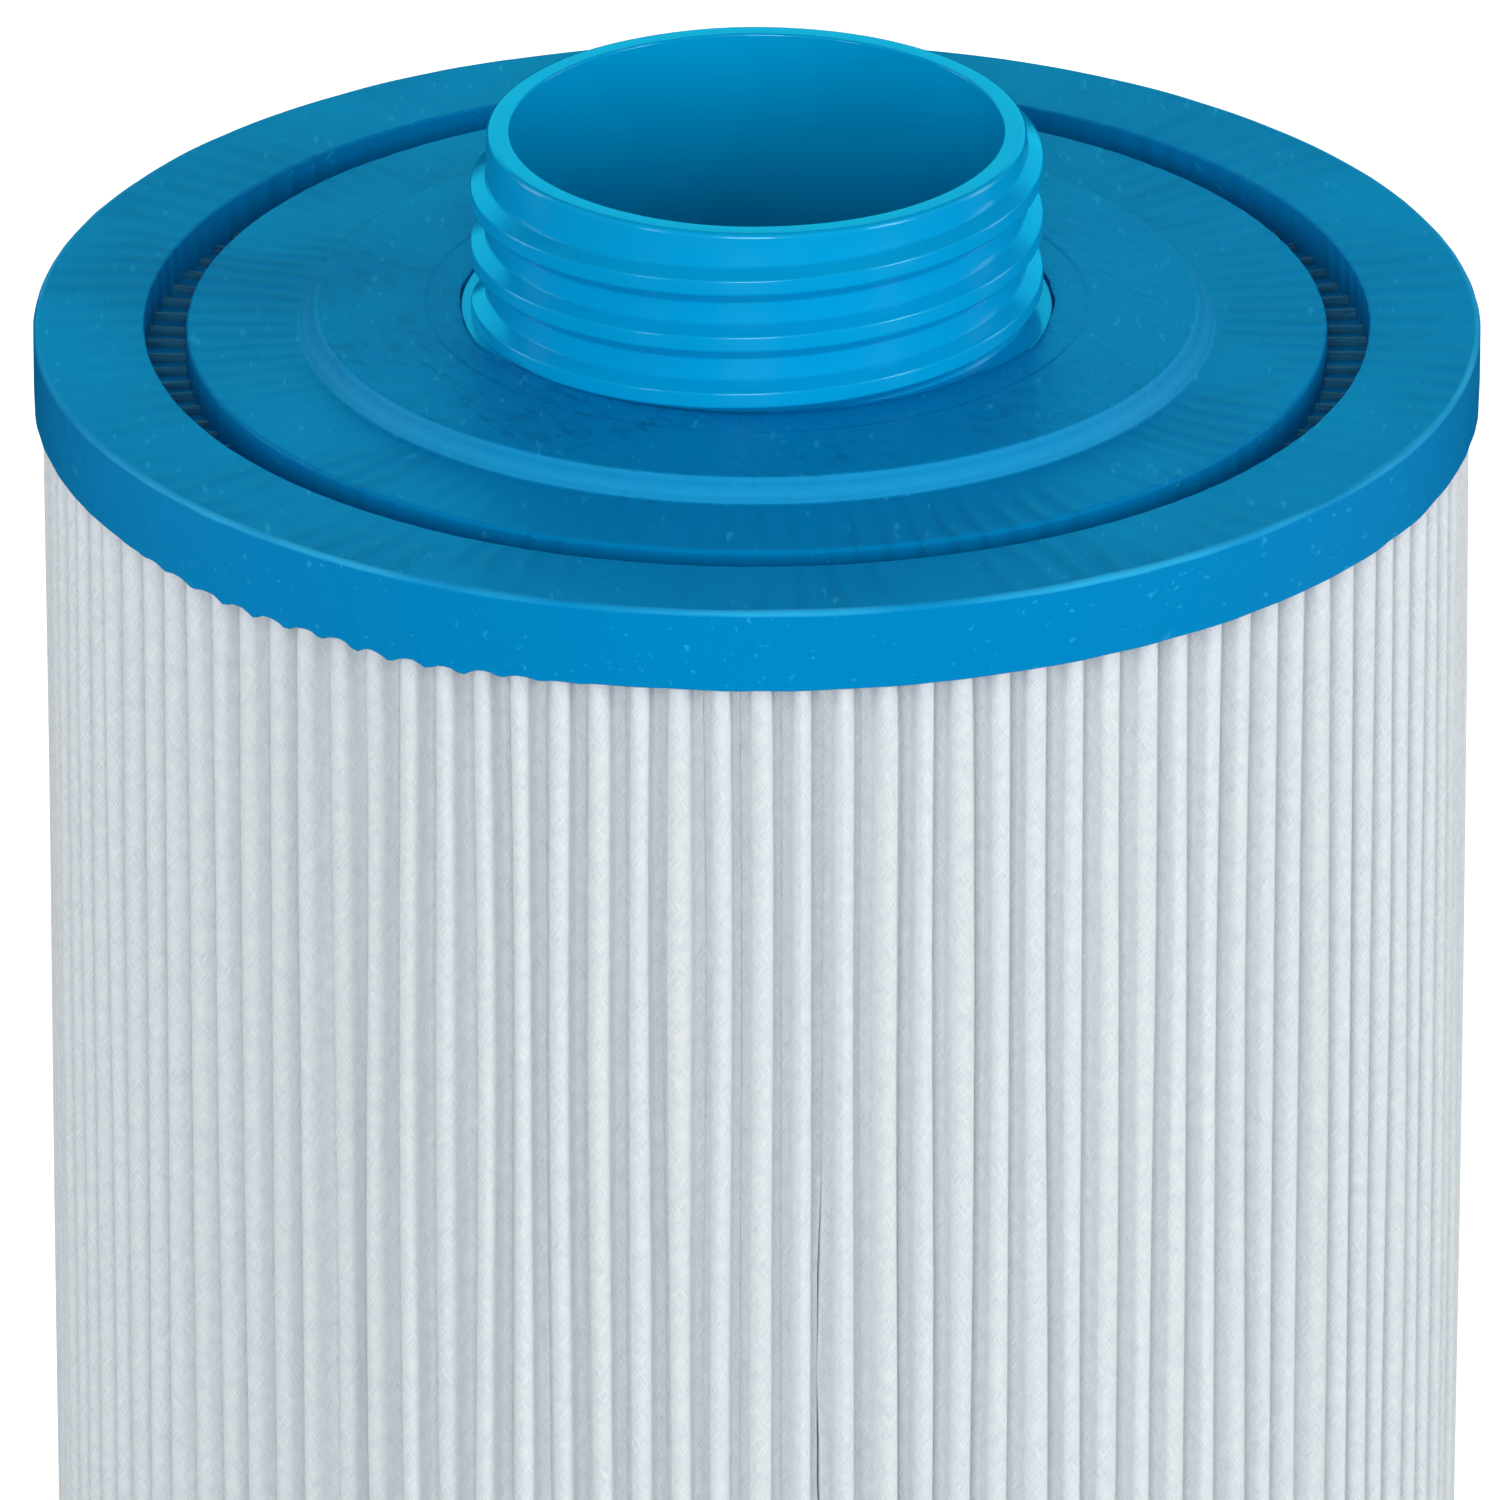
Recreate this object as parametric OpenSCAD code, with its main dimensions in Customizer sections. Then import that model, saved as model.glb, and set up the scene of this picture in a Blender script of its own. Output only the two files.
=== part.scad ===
// Screw-in spa filter cartridge: a pleated sheet round a perforated core, its two ends
// cast into polyurethane caps. One cap holds a threaded outlet collar, the other a
// recessed hand grip. Millimetres, +Z up, origin at the centre of the closed end's face.

/* [Body] */
// Outside diameter of both end caps
cap_d = 152.4; // [148:0.1:160]
// Length from the closed end's face to the threaded end's outer ring
body_len = 203.2; // [160:0.1:300]
// Height of the cast cap at its outside wall
cap_h = 9; // [6.5:0.1:12]

/* [Cap face] */
// Outer radius of the moulding groove in each cap
groove_ro = 64.5; // [62:0.1:66]
// Inner radius of the moulding groove
groove_ri = 60.1; // [56:0.1:61]
// Depth of the groove, down to the ends of the pleats
groove_depth = 4.7; // [4:0.1:5.5]
// Step down from the outer ring to the land inside the groove
land_drop = 0.3; // [0:0.1:0.6]
// Radius of the raised disc round the collar, at its foot
disc_r = 48.3; // [46:0.1:52]
// Height of the raised disc's top above the outer ring
disc_h = 2.1; // [1:0.1:3]
// Width of the raised disc's bevelled edge
disc_bevel = 1.9; // [1:0.1:3]

/* [Collar and grip] */
// Radius of the outlet bore through the collar
bore_r = 26; // [24:0.1:27]
// Radius of the collar at the root of its thread
root_r = 28.4; // [28:0.1:29]
// Radius over the thread's crests
crest_r = 30.15; // [29.5:0.05:31]
// Height of the collar's rim above the outer ring
rim_h = 21.6; // [20.6:0.1:25]
// Distance from one turn of the thread to the next
pitch = 6.35; // [5:0.05:7]
// Depth of the finger well in the closed end
well_depth = 24; // [20:0.5:30]
// Width of the bar that spans the finger well
bar_w = 12; // [10:0.5:16]

/* [Pleats and core] */
// Number of pleats round the cartridge
pleats = 108; // [80:1:116]
// Radius over the outer folds
media_ro = 75.1; // [72:0.1:75.4]
// Radius inside the inner folds
media_ri = 31.3; // [31.1:0.1:34]
// Thickness of the pleated sheet
sheet_t = 0.5; // [0.4:0.05:0.6]
// Half of the width of an outer fold
fold_r = 1.15; // [0.9:0.05:1.9]
// Number of core sections
sections = 3; // [2:1:4]
// Windows round each row of a core section
windows = 12; // [8:2:16]

/* [Hidden] */
fine = 180;                           // facets of a full circle in previews
eps = 0.01;                           // overlap that keeps cuts clean
cap_r = cap_d / 2;
ring_z = body_len;                    // plane of the threaded end's outer ring
edge_r = 0.8;                         // rounding of the caps' outside edge

// Inserts: the flange of each is buried in the cast cap
flange_r = 41;
flange_top = 1.5;                     // depth of the flange's outer face below the ring
flange_t = 2.5;
neck_r = 31.2;                        // upstand that shows in the recess round the collar
neck_h = 1.7;                         // the upstand's face, above the ring plane
tail_len = 16;                        // how far each insert reaches past the ring plane
anchor_n = 12;
anchor_r = 2.5;
anchor_pcd_r = 36.5;
rim_round = 0.7;

// Thread: trapezoid on a right-hand helix
crest_w = 1.6;
flank_top = 0.8;                      // height of the flank above the crest
flank_low = 1.45;                     // height of the flank below it
thread_sink = 0.4;                    // how far the thread's foot goes into the wall
thread_a0 = -570;                     // angle where the thread leaves the flange
thread_a1 = 420;                      // angle where it ends below the rim
thread_z270 = 16.3;                   // crest height above the ring plane at 270 degrees
thread_step = 7.5;                    // degrees between sections of the helix
thread_fade = 30;                     // degrees over which its ends rise from the root

// Core
core_ri = 28.6;
core_t = 2.4;
core_end = flange_top + flange_t + 0.2;
core_len = (body_len - 2 * core_end) / sections;
lap_len = 6;                          // overlap of one section with the next
lap_gap = 0.05;
window_w = 10;
window_h = 8.5;
window_rows = 5;

// Finger well and bar
well_floor = 2.4;
bar_h = 8;
bar_round = 2.5;
well_face = 0.8;                      // the insert sits this far inside the ring plane

// Pleated sheet
pleat_a = 360 / pleats;
media_z0 = groove_depth;
media_z1 = ring_z - groove_depth;
valley_r = 0.175;                     // half of the gap between two pleats at the core
crest_c = media_ro - fold_r;          // centre of an outer fold's arc
valley_c = media_ri + sheet_t + valley_r;
seam_a = 275.2;                       // the gap where the sheet's two ends meet
bead_t = 0.3;
bead_r0 = 33;
bead_r1 = 52;

threaded_collar();
threaded_end_cap();
closed_end_cap();
grip_insert();
core_section(0);  // core_section_lower
core_section(1);  // core_section_middle
core_section(2);  // core_section_upper
pleated_media();
seam_bead();

// A ring of rectangular section about the Z axis
module ring(r0, r1, z0, z1) {
    rotate_extrude($fn = fine) translate([r0, z0]) square([r1 - r0, z1 - z0]);
}

// Copies of the children at equal angles about the Z axis
module around(n, offset_a = 0) {
    for (i = [0:n - 1]) rotate(offset_a + i * 360 / n) children();
}

// ---- Threaded collar ----

// Height of the thread's centre line at angle a, in the collar's frame
function thread_z(a) = thread_z270 + pitch * (a - 270) / 360;

// Share of the full thread height at angle a: the ends fade in and out
function thread_rise(a) = min(1, (a - thread_a0) / thread_fade, (thread_a1 - a) / thread_fade);

// Four corners of the thread's section at angle a
function thread_section(a) =
    let (
        top = root_r - thread_sink + 0.02 + (crest_r - root_r + thread_sink - 0.02) * thread_rise(a),
        z = thread_z(a)
    )
    [for (p = [[root_r - thread_sink, -crest_w / 2 - flank_low], [top, -crest_w / 2],
               [top, crest_w / 2], [root_r - thread_sink, crest_w / 2 + flank_top]])
        [p[0] * cos(a), p[0] * sin(a), z + p[1]]];

// The helical thread as one closed polyhedron
module thread() {
    steps = ceil((thread_a1 - thread_a0) / thread_step);
    corners = 4;
    points = [for (i = [0:steps])
        each thread_section(thread_a0 + (thread_a1 - thread_a0) * i / steps)];
    sides = [for (i = [0:steps - 1], k = [0:corners - 1])
        let (a = i * corners + k, b = i * corners + (k + 1) % corners)
        each [[a, b, b + corners], [a, b + corners, a + corners]]];
    last = steps * corners;
    ends = [[3, 2, 1, 0], [last, last + 1, last + 2, last + 3]];
    polyhedron(points = points, faces = concat(sides, ends), convexity = 8);
}

// Section of the collar's tube, neck and buried flange, above and below the ring plane
module collar_section() {
    polygon([
        [bore_r, -tail_len],
        [root_r, -tail_len],
        [root_r, -flange_top - flange_t],
        [flange_r, -flange_top - flange_t],
        [flange_r, -flange_top],
        [neck_r, -flange_top],
        [neck_r, neck_h],
        [root_r, neck_h],
        [root_r, rim_h - rim_round],
        [root_r - rim_round * 0.3, rim_h - rim_round * 0.3],
        [root_r - rim_round, rim_h],
        [bore_r + rim_round, rim_h],
        [bore_r + rim_round * 0.3, rim_h - rim_round * 0.3],
        [bore_r, rim_h - rim_round],
    ]);
}

// Holes in a buried flange through which the cast cap keys into it
module anchor_holes() {
    around(anchor_n)
        translate([anchor_pcd_r, 0, -flange_top - flange_t - 1])
            cylinder(r = anchor_r, h = flange_t + 2, $fn = 32);
}

module threaded_collar() {
    color("deepskyblue")
    translate([0, 0, ring_z])
    union() {
        difference() {
            rotate_extrude($fn = fine) collar_section();
            anchor_holes();
        }
        thread();
    }
}

// ---- Cast end caps ----

// Section of a cap in the frame of its own ring plane, casting downwards; top holds
// the points of the face inside the groove, from the groove inwards
module cap_section(top) {
    polygon(concat(
        [
            [root_r, -cap_h],
            [cap_r, -cap_h],
            [cap_r, -edge_r],
        ],
        [for (a = [30:30:60]) [cap_r - edge_r + edge_r * cos(a), -edge_r + edge_r * sin(a)]],
        [
            [cap_r - edge_r, 0],
            [groove_ro, 0],
            [groove_ro, -groove_depth],
            [groove_ri, -groove_depth],
            [groove_ri, -land_drop],
        ],
        top
    ));
}

module threaded_end_cap() {
    color("steelblue")
    difference() {
        translate([0, 0, ring_z]) rotate_extrude($fn = fine) cap_section([
            [disc_r, -land_drop],
            [disc_r - disc_bevel, disc_h],
            [neck_r, disc_h],
            [neck_r, -flange_top],
            [root_r, -flange_top],
        ]);
        translate([0, 0, ring_z]) insert_flange();
        media_solid();
        core_solid(sections - 1);
    }
}

module closed_end_cap() {
    color("steelblue")
    difference() {
        mirror([0, 0, 1]) rotate_extrude($fn = fine) cap_section([
            [neck_r, -land_drop],
            [neck_r, -flange_top],
            [root_r, -flange_top],
        ]);
        mirror([0, 0, 1]) insert_flange();
        media_solid();
        core_solid(0);
    }
}

// The buried flange with its anchor holes, as both inserts have it
module insert_flange() {
    difference() {
        ring(root_r - 1, flange_r, -flange_top - flange_t, -flange_top);
        anchor_holes();
    }
}

// ---- Grip insert ----

module grip_insert() {
    color("deepskyblue")
    mirror([0, 0, 1])
    union() {
        difference() {
            rotate_extrude($fn = fine) polygon([
                [0, -well_depth - well_floor],
                [root_r - 1.5, -well_depth - well_floor],
                [root_r, -well_depth - well_floor + 1.5],
                [root_r, -flange_top - flange_t],
                [flange_r, -flange_top - flange_t],
                [flange_r, -flange_top],
                [neck_r, -flange_top],
                [neck_r, -well_face],
                [bore_r, -well_face],
                [bore_r, -well_depth + 3],
                [bore_r - 1, -well_depth + 1],
                [bore_r - 3, -well_depth],
                [0, -well_depth],
            ]);
            anchor_holes();
        }
        grip_bar();
    }
}

// Bar across the mouth of the finger well, rounded underneath
module grip_bar() {
    intersection() {
        translate([0, 0, -well_face - bar_h]) cylinder(r = bore_r + 1, h = bar_h, $fn = fine);
        translate([-bore_r - 2, 0, -well_face]) rotate([90, 0, 90])
            linear_extrude(2 * bore_r + 4) polygon([
                [-bar_w / 2, 0],
                [-bar_w / 2, -bar_h + bar_round],
                [-bar_w / 2 + bar_round * 0.3, -bar_h + bar_round * 0.3],
                [-bar_w / 2 + bar_round, -bar_h],
                [bar_w / 2 - bar_round, -bar_h],
                [bar_w / 2 - bar_round * 0.3, -bar_h + bar_round * 0.3],
                [bar_w / 2, -bar_h + bar_round],
                [bar_w / 2, 0],
            ]);
    }
}

// ---- Core ----

// Tube of core section i with its half laps, without windows
module core_solid(i) {
    z0 = core_end + i * core_len;
    z1 = z0 + core_len;
    mid_r = core_ri + core_t / 2;
    has_socket = i > 0;
    has_spigot = i < sections - 1;
    difference() {
        union() {
            ring(core_ri, core_ri + core_t, z0, z1);
            if (has_spigot) ring(core_ri, mid_r - lap_gap, z1 - eps, z1 + lap_len);
        }
        if (has_socket) ring(core_ri - 1, mid_r + lap_gap, z0 - 1, z0 + lap_len + 0.3);
    }
}

// One row of windows as bars that cross the whole tube
module window_row(z) {
    around(windows / 2)
        translate([-core_ri - core_t - 1, -window_w / 2, z])
            cube([2 * (core_ri + core_t + 1), window_w, window_h]);
}

module core_section(i) {
    margin = 9;                       // solid band at each end of a section
    gap = (core_len - 2 * margin - window_rows * window_h) / (window_rows - 1);
    color("gainsboro")
    difference() {
        core_solid(i);
        for (k = [0:window_rows - 1])
            window_row(core_end + i * core_len + margin + k * (window_h + gap));
    }
}

// ---- Pleated sheet ----

// Arc of radius r about a point at radius c and angle a, from one side to the other;
// outward is 1 for a fold that points away from the axis and -1 for one towards it
function fold(c, a, r, outward, step) =
    [for (t = [-90:step:90])
        let (u = c + outward * r * cos(t), v = r * sin(t))
        [u * cos(a) - v * sin(a), u * sin(a) + v * cos(a)]];

// Outline of one face of the sheet: crest and valley folds in turn
function sheet_outline(crest, valley, crest_step) =
    [for (i = [0:pleats - 1])
        let (a = seam_a + i * pleat_a)
        each concat(
            fold(valley_c, a, valley, -1, 90),
            fold(crest_c, a + pleat_a / 2, crest, 1, crest_step)
        )];

module media_solid() {
    outer = sheet_outline(fold_r, valley_r, 45);
    inner = sheet_outline(fold_r - sheet_t, valley_r + sheet_t, 90);
    translate([0, 0, media_z0])
        linear_extrude(media_z1 - media_z0)
            polygon(
                points = concat(outer, inner),
                paths = [
                    [for (k = [0:len(outer) - 1]) k],
                    [for (k = [0:len(inner) - 1]) len(outer) + k],
                ]
            );
}

module pleated_media() {
    color("white") media_solid();
}

// Adhesive between the two pleats where the sheet's ends meet
module seam_bead() {
    color("ivory")
    rotate(seam_a)
        translate([bead_r0, -bead_t / 2, cap_h])
            cube([bead_r1 - bead_r0, bead_t, body_len - 2 * cap_h]);
}
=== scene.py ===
"""Looks of a screw-in spa filter cartridge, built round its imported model.

A pleated sheet of spun-bonded polyester stands round a perforated core. Its ends are cast
into polyurethane caps. One cap holds a moulded collar with an outside thread, the other a
moulded grip. Lengths in the classes are millimetres; meshes are in metres.
"""

import logging
import math
from dataclasses import dataclass
from enum import Enum

import bmesh
import bpy
from mathutils import Matrix, Vector, noise


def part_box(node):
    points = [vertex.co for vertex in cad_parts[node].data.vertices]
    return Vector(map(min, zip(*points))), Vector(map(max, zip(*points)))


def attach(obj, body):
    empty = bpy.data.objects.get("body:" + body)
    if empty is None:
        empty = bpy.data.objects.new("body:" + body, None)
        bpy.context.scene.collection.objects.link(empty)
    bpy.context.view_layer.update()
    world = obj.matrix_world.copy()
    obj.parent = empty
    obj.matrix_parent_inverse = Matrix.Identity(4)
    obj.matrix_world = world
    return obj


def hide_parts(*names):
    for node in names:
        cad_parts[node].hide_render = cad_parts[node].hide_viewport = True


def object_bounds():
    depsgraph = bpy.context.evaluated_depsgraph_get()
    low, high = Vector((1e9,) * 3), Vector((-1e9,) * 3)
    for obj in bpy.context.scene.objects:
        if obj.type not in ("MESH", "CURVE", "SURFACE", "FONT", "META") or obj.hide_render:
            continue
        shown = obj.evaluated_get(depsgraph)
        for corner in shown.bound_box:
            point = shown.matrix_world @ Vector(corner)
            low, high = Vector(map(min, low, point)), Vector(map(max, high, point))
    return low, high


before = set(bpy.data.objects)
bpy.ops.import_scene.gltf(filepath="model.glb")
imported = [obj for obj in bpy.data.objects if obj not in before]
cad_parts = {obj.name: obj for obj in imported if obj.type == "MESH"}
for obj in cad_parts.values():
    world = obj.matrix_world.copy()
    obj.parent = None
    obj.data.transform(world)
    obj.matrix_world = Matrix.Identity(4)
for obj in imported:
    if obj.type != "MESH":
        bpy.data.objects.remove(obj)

CAD_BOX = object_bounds()
MM = 0.001
log = logging.getLogger("cartridge")

Mesh = bmesh.types.BMesh
Vert = bmesh.types.BMVert
Node = bpy.types.Node
Tree = bpy.types.NodeTree
Piece = bpy.types.Object
Profile = list[tuple[float, float, float]]

# sizes that several pieces share, in millimetres
PLEATS = 108
CAP_R = 76.2
NECK_R = 31.2
FLANGE_R = 41.0
FLANGE_Z = (-4.0, -1.5)
CORE_SECTIONS = ("core_section_lower", "core_section_middle", "core_section_upper")
# share of a corner's radius that a vertex bevel cuts off each edge
CORNER_CUT = 0.6


# ---- Small tools ----


def linear(colour: str) -> tuple[float, float, float, float]:
    """Turns an sRGB hex colour into linear values.

    Args:
        colour: Six hex digits after a hash.

    Returns:
        Red, green, blue and an alpha of 1.
    """
    parts = [int(colour[i:i + 2], 16) / 255 for i in (1, 3, 5)]
    red, green, blue = (p / 12.92 if p <= 0.04045 else ((p + 0.055) / 1.055) ** 2.4 for p in parts)
    return red, green, blue, 1.0


def add_node(
    tree: Tree,
    kind: str,
    settings: dict | None = None,
    values: dict | None = None,
    links: dict | None = None,
) -> Node:
    """Adds a node with its settings, its socket values and its links.

    Args:
        tree: The node tree that gets it.
        kind: Its type, such as ShaderNodeMath.
        settings: Properties by name.
        values: Socket values by socket name or number.
        links: Output sockets by the name or number of the input they feed.

    Returns:
        The new node.
    """
    node = tree.nodes.new(kind)
    for name, value in (settings or {}).items():
        setattr(node, name, value)
    for socket, value in (values or {}).items():
        node.inputs[socket].default_value = value
    for socket, output in (links or {}).items():
        tree.links.new(output, node.inputs[socket])
    return node


def smooth_step(low: float, high: float, value: float) -> float:
    """Rises smoothly from 0 at low to 1 at high."""
    share = min(1.0, max(0.0, (value - low) / (high - low)))
    return share * share * (3 - 2 * share)


def wander(*place: float) -> float:
    """Smooth noise from about -1 to 1 at a place given by one to three numbers."""
    x, y, z = (*place, 0.37, 0.71)[:3]
    return noise.noise(Vector((x + 0.13, y + 0.29, z)))


def round_noise(angle: float, lumps: float, seed: float) -> float:
    """Smooth noise round a circle, without a seam.

    Args:
        angle: Place on the circle in radians.
        lumps: How many lumps the circle has, roughly.
        seed: Picks one of many such noises.

    Returns:
        A value from about -1 to 1.
    """
    reach = lumps / math.tau
    return wander(reach * math.cos(angle), reach * math.sin(angle), seed)


def finish_mesh(name: str, bm: Mesh, sharp: float) -> Piece:
    """Turns a bmesh in millimetres into a smooth-shaded object in metres.

    Args:
        name: Name of the object and its mesh.
        bm: The shape; it is freed.
        sharp: Edges that turn more than this many degrees stay sharp.

    Returns:
        The new object, at the origin.
    """
    bmesh.ops.scale(bm, vec=(MM, MM, MM), verts=bm.verts)
    mesh = bpy.data.meshes.new(name)
    bm.to_mesh(mesh)
    bm.free()
    mesh.shade_smooth()
    mesh.set_sharp_from_angle(angle=math.radians(sharp))
    made = bpy.data.objects.new(name, mesh)
    bpy.context.scene.collection.objects.link(made)
    return made


def crisp(piece: Piece) -> None:
    """Keeps the shading of flat faces flat, so that only the rounded edges turn the light."""
    weights = piece.modifiers.new("flat_shading", "WEIGHTED_NORMAL")
    weights.keep_sharp = True


def verts_in(geom: list) -> list[Vert]:
    """Picks the vertices out of what an operator returns."""
    return [g for g in geom if isinstance(g, Vert)]


def profile_loop(bm: Mesh, corners: Profile, longest: float, closed: bool = True) -> None:
    """Draws a profile in the XZ plane with rounded corners and short edges.

    Args:
        bm: Gets the profile; it is empty before.
        corners: Radius, height and corner rounding of each corner in turn.
        longest: Edges are cut up until none is longer than about this.
        closed: Whether the last corner joins the first.
    """
    verts = [bm.verts.new((r, 0, z)) for r, z, _ in corners]
    rounds = {vert: corner[2] for vert, corner in zip(verts, corners)}
    for start, end in zip(verts, verts[1:] + verts[:1] if closed else verts[1:]):
        bm.edges.new((start, end))
    for radius in sorted({r for r in rounds.values() if r > 0}):
        bmesh.ops.bevel(
            bm, geom=[v for v, r in rounds.items() if r == radius], offset=radius * CORNER_CUT,
            offset_type="OFFSET", affect="VERTICES", segments=3, profile=0.5, material=-1,
        )
    for edge in list(bm.edges):
        cuts = int(edge.calc_length() / longest)
        if cuts:
            bmesh.ops.subdivide_edges(bm, edges=[edge], cuts=cuts)


def spin_full(bm: Mesh, steps: int, sectors: int = 6) -> None:
    """Spins all of a profile once round the Z axis and points its faces outwards.

    One sector is spun and the others are turned copies of it, which is much quicker.

    Args:
        bm: Holds the profile.
        steps: Steps of the whole turn, a multiple of sectors.
        sectors: How many equal sectors make the turn.
    """
    bmesh.ops.spin(
        bm, geom=bm.verts[:] + bm.edges[:], cent=(0, 0, 0), axis=(0, 0, 1),
        angle=math.tau / sectors, steps=steps // sectors,
    )
    sector = bm.verts[:] + bm.edges[:] + bm.faces[:]
    for i in range(1, sectors):
        copy = bmesh.ops.duplicate(bm, geom=sector)["geom"]
        bmesh.ops.rotate(
            bm, cent=(0, 0, 0), matrix=Matrix.Rotation(i * math.tau / sectors, 3, "Z"),
            verts=verts_in(copy),
        )
    bmesh.ops.remove_doubles(bm, verts=bm.verts, dist=1e-4)
    bmesh.ops.recalc_face_normals(bm, faces=bm.faces)


def unite(body: Piece, other: Piece, sharp: float) -> None:
    """Joins another closed shape into a body and removes the other.

    Args:
        body: Keeps its name and gets the joined mesh.
        other: The shape that is added and then removed.
        sharp: Edges that turn more than this many degrees stay sharp.
    """
    union = body.modifiers.new("union", "BOOLEAN")
    union.operation, union.solver, union.object = "UNION", "EXACT", other
    evaluated = body.evaluated_get(bpy.context.evaluated_depsgraph_get())
    joined = bpy.data.meshes.new_from_object(evaluated)
    body.modifiers.clear()
    old = body.data
    body.data = joined
    joined.name = old.name
    bpy.data.meshes.remove(old)
    bpy.data.objects.remove(other)
    joined.shade_smooth()
    joined.set_sharp_from_angle(angle=math.radians(sharp))


# ---- Finishes ----


@dataclass(frozen=True)
class Finish:
    """One material: what it is made of, its colours and how it shines."""

    name: str
    colour: str
    roughness: float
    ior: float = 1.5
    gloss: float = 0.5
    glint: str = "#ffffff"

    def material(self) -> bpy.types.Material:
        """Makes the material, or returns the one already made."""
        made = bpy.data.materials.get(self.name)
        if made:
            return made
        made = bpy.data.materials.new(self.name)
        made.use_nodes = True
        tree = made.node_tree
        shader = tree.nodes["Principled BSDF"]
        shader.inputs["Base Color"].default_value = linear(self.colour)
        shader.inputs["Roughness"].default_value = self.roughness
        shader.inputs["IOR"].default_value = self.ior
        shader.inputs["Specular IOR Level"].default_value = self.gloss
        shader.inputs["Specular Tint"].default_value = linear(self.glint)
        coords = add_node(tree, "ShaderNodeTexCoord")
        self.pattern(tree, shader, coords)
        return made

    def pattern(self, tree: Tree, shader: Node, coords: Node) -> None:
        """Adds the finish's pattern to its shader; the plain finish has none."""


@dataclass(frozen=True)
class MouldedPlastic(Finish):
    """Injection-moulded plastic: a smooth skin with faint flow clouds and rub marks."""

    cloud: str = "#0090c8"
    cloud_mm: float = 14.0
    rub_mm: float = 3.0
    skin_mm: float = 0.5
    skin_depth_mm: float = 0.006

    def pattern(self, tree: Tree, shader: Node, coords: Node) -> None:
        """Adds flow clouds to the colour, and rub marks to the shine and the surface.

        Args:
            tree: The material's nodes.
            shader: Its Principled shader.
            coords: Its Texture Coordinate node.
        """
        place = coords.outputs["Object"]
        flow, rub, skin = (
            add_node(
                tree, "ShaderNodeTexNoise", values={"Scale": 1 / (size * MM), "Detail": detail},
                links={"Vector": place},
            ).outputs["Fac"]
            for size, detail in ((self.cloud_mm, 2.0), (self.rub_mm, 4.0), (self.skin_mm, 3.0))
        )
        tint = add_node(
            tree, "ShaderNodeMix", {"data_type": "RGBA"},
            {6: linear(self.colour), 7: linear(self.cloud)}, {0: flow},
        )
        shine = add_node(
            tree, "ShaderNodeMapRange",
            values={"From Min": 0.35, "From Max": 0.7,
                    "To Min": self.roughness * 0.8, "To Max": self.roughness * 1.35},
            links={"Value": rub},
        )
        bump = add_node(
            tree, "ShaderNodeBump", values={"Strength": 1.0, "Distance": self.skin_depth_mm * MM},
            links={"Height": skin},
        )
        tree.links.new(tint.outputs[2], shader.inputs["Base Color"])
        tree.links.new(shine.outputs["Result"], shader.inputs["Roughness"])
        tree.links.new(bump.outputs["Normal"], shader.inputs["Normal"])


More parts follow.
